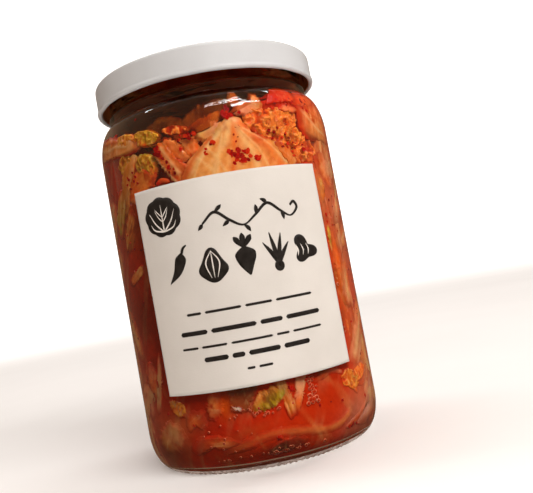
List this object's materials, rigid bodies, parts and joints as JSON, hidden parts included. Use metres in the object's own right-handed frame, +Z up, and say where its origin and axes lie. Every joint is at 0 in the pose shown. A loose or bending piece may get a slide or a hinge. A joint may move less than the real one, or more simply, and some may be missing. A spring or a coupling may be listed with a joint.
{
  "type": "jar of kimchi",
  "caption": "Shut round clear-glass jar packed with red cabbage kimchi, with a white twist-off metal lid and a plain square paper label on the front.",
  "frame": {"origin": "middle of the foot ring, on the surface the jar stands on", "axes": "+Z up the jar's own axis, -Y out through the label at the front"},
  "size_m": [0.0888, 0.0892, 0.1456],
  "materials": {
    "clear_glass": "clear flint glass, smooth",
    "white_lacquer": "white lacquered tinplate, satin gloss",
    "label_paper": "white semi-matt paper with plain black print",
    "cabbage": "wet fermented cabbage in red chilli brine"
  },
  "bodies": {
    "root": {"glass_jar": "clear_glass", "lid": "white_lacquer", "label": "label_paper", "kimchi": "cabbage"}
  },
  "joints": []
}
